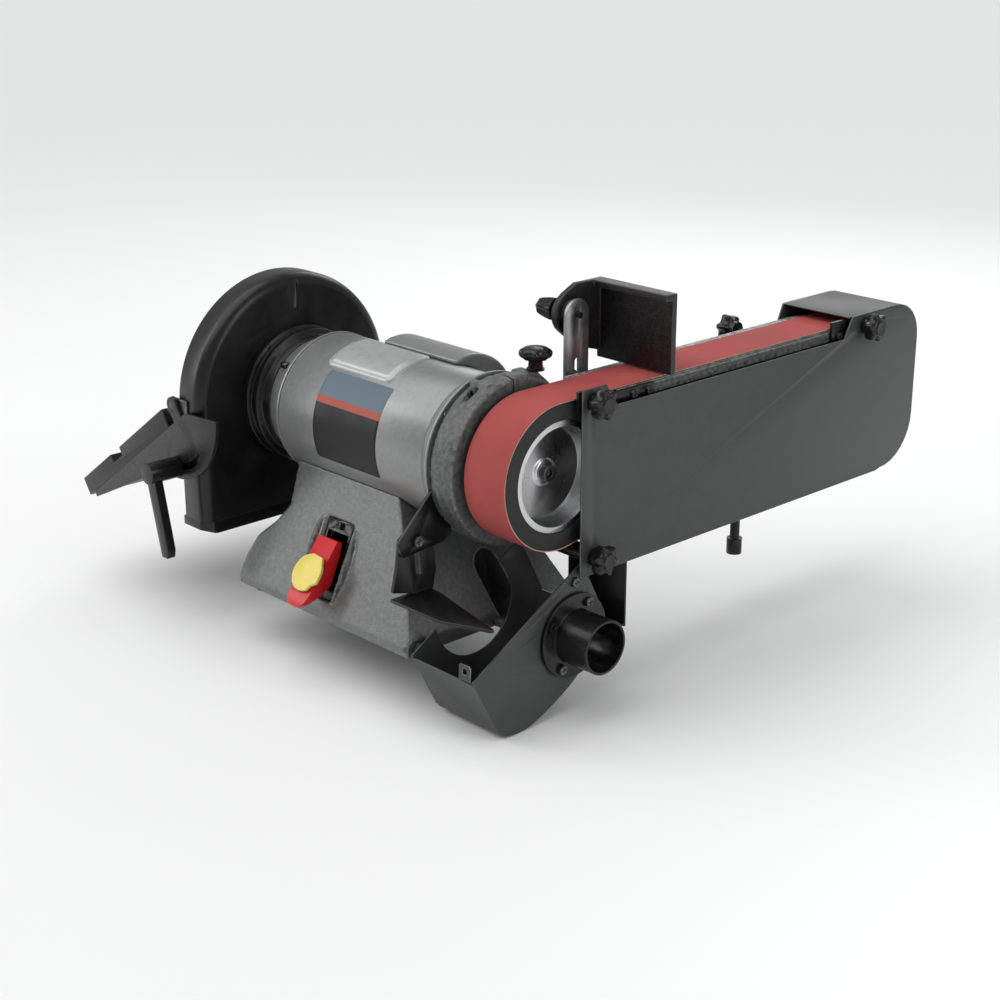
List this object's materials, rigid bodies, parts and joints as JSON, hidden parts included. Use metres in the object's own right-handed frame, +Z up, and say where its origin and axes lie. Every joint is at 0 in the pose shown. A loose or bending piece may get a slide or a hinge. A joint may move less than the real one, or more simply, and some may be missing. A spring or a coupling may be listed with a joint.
{
  "type": "belt disc sander",
  "caption": "Bench-top sander with a long sanding belt on a lifting arm at one end of a motor shaft and a guarded sanding disc with a tilting table at the other.",
  "frame": {"origin": "middle of the base's bolt holes, on the bench", "axes": "+X along the motor shaft from the disc to the belt, +Y to the back of the machine, +Z up"},
  "size_m": [0.6423, 0.6733, 0.3698],
  "materials": {
    "cast_grey": "satin cast silver-grey paint",
    "sheet_grey": "satin dark grey paint",
    "black_cast": "crinkled black paint",
    "black_plastic": "satin moulded",
    "black_steel": "blackened",
    "steel": "turned",
    "lamination": "stacked sheet",
    "copper": "varnished wire",
    "alloy": "turned",
    "graphite": "graphite cloth",
    "abrasive": "abrasive grit",
    "rubber": "matt",
    "label": "printed bands, no words",
    "badge": "smooth cast pad, blank",
    "red_plastic": "moulded",
    "yellow_plastic": "moulded"
  },
  "bodies": {
    "stand": {"base": "cast_grey", "feet": "rubber", "motor_shell": "cast_grey", "left_bell": "cast_grey", "right_bell": "cast_grey", "stator": "lamination", "windings": "copper", "bearings": "steel", "bell_screws": "black_steel", "badge_pad": "badge", "rating_label": "label", "capacitor_box": "cast_grey", "cord_gland": "black_plastic", "switch_plate": "black_plastic", "switch_box": "black_plastic", "panel_screws": "black_steel", "disc_guard": "black_cast", "guard_sump": "black_cast", "guard_collar": "black_cast", "table_bracket": "black_steel", "tool_rest_bracket": "black_cast", "dust_hood": "sheet_grey", "dust_port": "black_plastic", "rear_deflector": "black_cast"},
    "spindle": {"motor_shaft": "steel", "rotor": "lamination", "disc_plate": "alloy", "abrasive_disc": "abrasive", "disc_screws": "black_steel", "contact_wheel": "alloy", "wheel_tyre": "rubber", "wheel_screw": "black_steel"},
    "paddle": {"switch_paddle": "red_plastic"},
    "key": {"switch_key": "yellow_plastic"},
    "table": {"disc_table": "black_cast", "table_trunnions": "black_cast"},
    "table_lock": {"table_lever": "black_plastic"},
    "rest": {"tool_rest": "black_cast"},
    "arm": {"arm_frame": "cast_grey", "arm_screws": "black_steel", "platen": "graphite", "sanding_belt": "abrasive", "inner_cover": "sheet_grey", "cover_brackets": "black_cast"},
    "arm_lock": {"arm_lock_knob": "black_plastic"},
    "carriage": {"tension_bar": "steel", "tension_spring": "steel"},
    "yoke": {"idler_yoke": "black_steel", "idler_axle": "steel"},
    "roller": {"idler_roller": "alloy"},
    "tensioner": {"tension_lever": "black_steel"},
    "tracker": {"tracking_knob": "black_plastic"},
    "cover": {"side_cover": "sheet_grey"},
    "cover_knob_front_top": {"knob_front_top": "black_plastic"},
    "cover_knob_front_bottom": {"knob_front_bottom": "black_plastic"},
    "cover_knob_rear_top": {"knob_rear_top": "black_plastic"},
    "stop_slide": {"stop_bracket": "steel"},
    "stop": {"work_stop": "black_cast"},
    "stop_clamp": {"stop_knob": "black_plastic"}
  },
  "joints": [
    {"name": "spindle_spin", "type": "hinge", "parent": "stand", "child": "spindle", "pos_m": [0, 0, 0.176], "axis": [1, 0, 0], "continuous": true},
    {"name": "paddle_press", "type": "hinge", "parent": "stand", "child": "paddle", "pos_m": [-0.0065, -0.08612, 0.0761], "axis": [1, 0, 0], "range_deg": [0, 8]},
    {"name": "key_pull", "type": "slide", "parent": "paddle", "child": "key", "axis": [0, -0.9258, 0.378], "range_m": [0, 0.03]},
    {"name": "table_tilt", "type": "hinge", "parent": "stand", "child": "table", "pos_m": [-0.2, 0, 0.177], "axis": [0, 1, 0], "range_deg": [-10, 35]},
    {"name": "table_lock_turn", "type": "hinge", "parent": "stand", "child": "table_lock", "pos_m": [-0.19352, -0.14, 0.11534], "axis": [0, 1, 0], "range_deg": [-60, 60]},
    {"name": "rest_slide", "type": "slide", "parent": "stand", "child": "rest", "axis": [0, -0.1219, 0.9925], "range_m": [0, 0.028]},
    {"name": "arm_lift", "type": "hinge", "parent": "stand", "child": "arm", "pos_m": [0.15, 0, 0.176], "axis": [1, 0, 0], "range_deg": [0, 90]},
    {"name": "arm_lock_turn", "type": "hinge", "parent": "arm", "child": "arm_lock", "pos_m": [0.146, 0.036, 0.256], "axis": [0, 0, 1], "range_deg": [-180, 180]},
    {"name": "belt_tension", "type": "slide", "parent": "arm", "child": "carriage", "axis": [0, 1, 0], "range_m": [-0.012, 0]},
    {"name": "lever_swing", "type": "hinge", "parent": "arm", "child": "tensioner", "pos_m": [0.147, 0.326, 0.204], "axis": [1, 0, 0], "range_deg": [0, 30]},
    {"name": "tracking_turn", "type": "hinge", "parent": "arm", "child": "tracker", "pos_m": [0.1415, 0.326, 0.2366], "axis": [1, 0, 0], "range_deg": [-180, 180]},
    {"name": "idler_tilt", "type": "hinge", "parent": "carriage", "child": "yoke", "pos_m": [0.1896, 0.419, 0.2149], "axis": [0, 0, 1], "range_deg": [-1.5, 1.5]},
    {"name": "idler_spin", "type": "hinge", "parent": "yoke", "child": "roller", "pos_m": [0.1896, 0.4585, 0.2149], "axis": [1, 0, 0], "continuous": true},
    {"name": "cover_off", "type": "slide", "parent": "arm", "child": "cover", "axis": [1, 0, 0], "range_m": [0, 0.06]},
    {"name": "cover_knob_front_top_turn", "type": "hinge", "parent": "cover", "child": "cover_knob_front_top", "pos_m": [0.2273, 0.027, 0.242], "axis": [1, 0, 0], "range_deg": [-180, 180]},
    {"name": "cover_knob_front_bottom_turn", "type": "hinge", "parent": "cover", "child": "cover_knob_front_bottom", "pos_m": [0.2273, 0.031, 0.097], "axis": [1, 0, 0], "range_deg": [-180, 180]},
    {"name": "cover_knob_rear_top_turn", "type": "hinge", "parent": "cover", "child": "cover_knob_rear_top", "pos_m": [0.2273, 0.418, 0.242], "axis": [1, 0, 0], "range_deg": [-180, 180]},
    {"name": "stop_height", "type": "slide", "parent": "arm", "child": "stop_slide", "axis": [0, 0, 1], "range_m": [0, 0.015]},
    {"name": "stop_tilt", "type": "hinge", "parent": "stop_slide", "child": "stop", "pos_m": [0.133, 0.0905, 0.2935], "axis": [1, 0, 0], "range_deg": [0, 45]},
    {"name": "stop_clamp_turn", "type": "hinge", "parent": "stop_slide", "child": "stop_clamp", "pos_m": [0.126, 0.0905, 0.2935], "axis": [1, 0, 0], "range_deg": [-180, 180]}
  ],
  "couplings": [
    {"joint": "idler_spin", "follows": "spindle_spin", "ratio": 2.3649},
    {"joint": "belt_tension", "follows": "lever_swing", "m_per_rad": -0.022727},
    {"joint": "idler_tilt", "follows": "tracking_turn", "ratio": 0.008278}
  ]
}
